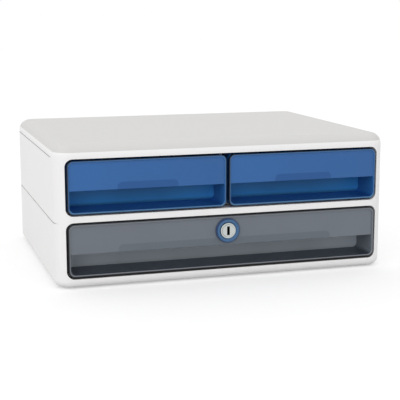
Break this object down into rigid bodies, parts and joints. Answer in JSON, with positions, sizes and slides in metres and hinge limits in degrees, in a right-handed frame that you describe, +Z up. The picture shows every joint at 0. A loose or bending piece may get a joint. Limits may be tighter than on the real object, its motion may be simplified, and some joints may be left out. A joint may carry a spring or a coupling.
{
  "type": "desktop file drawer",
  "caption": "Desktop drawer unit: white housing with rounded corners, side-by-side blue drawers above a full-width grey locking drawer, each with a finger recess.",
  "frame": {"origin": "middle of the overall footprint, on the surface that the unit stands on", "axes": "+X to the user's right, +Y to the back (the drawers open along -Y), +Z up"},
  "size_m": [0.362, 0.2804, 0.1477],
  "materials": {
    "white_plastic": "fine matt, off-white",
    "top_plastic": "fine matt, pale grey",
    "blue_plastic": "translucent blue, smooth",
    "grey_plastic": "translucent smoke grey, smooth",
    "ring_plastic": "opaque blue, satin",
    "lock_metal": "satin nickel",
    "steel": "zinc plated",
    "rubber": "matt black"
  },
  "bodies": {
    "housing": {"front_frame": "white_plastic", "lower_housing": "white_plastic", "upper_housing": "white_plastic", "top_frame": "white_plastic", "top_panel": "top_plastic", "shelf": "white_plastic", "centre_divider": "white_plastic", "lower_runner_left": "white_plastic", "lower_runner_right": "white_plastic", "upper_runner_left": "white_plastic", "upper_runner_right": "white_plastic", "lower_drawer_stop": "white_plastic", "left_drawer_stop": "white_plastic", "right_drawer_stop": "white_plastic", "lock_strike": "steel", "strike_screws": "steel", "runner_screws": "steel", "base_screws": "steel", "rim_screws": "steel", "rubber_feet": "rubber"},
    "left_drawer": {"left_tray": "blue_plastic", "left_front": "blue_plastic"},
    "right_drawer": {"right_tray": "blue_plastic", "right_front": "blue_plastic"},
    "lower_drawer": {"lower_tray": "grey_plastic", "lower_front": "grey_plastic", "lock_ring": "ring_plastic", "lock_barrel": "lock_metal", "lock_nut": "steel"},
    "lock_rotor": {"lock_plug": "lock_metal", "lock_cam": "steel", "cam_screw": "steel"}
  },
  "joints": [
    {"name": "left_drawer_slide", "type": "slide", "parent": "housing", "child": "left_drawer", "axis": [0, -1, 0], "range_m": [0, 0.2]},
    {"name": "right_drawer_slide", "type": "slide", "parent": "housing", "child": "right_drawer", "axis": [0, -1, 0], "range_m": [0, 0.2]},
    {"name": "lower_drawer_slide", "type": "slide", "parent": "housing", "child": "lower_drawer", "axis": [0, -1, 0], "range_m": [0, 0.2]},
    {"name": "lock_turn", "type": "hinge", "parent": "lower_drawer", "child": "lock_rotor", "pos_m": [0, -0.126, 0.05155], "axis": [0, 1, 0], "range_deg": [0, 90]}
  ]
}
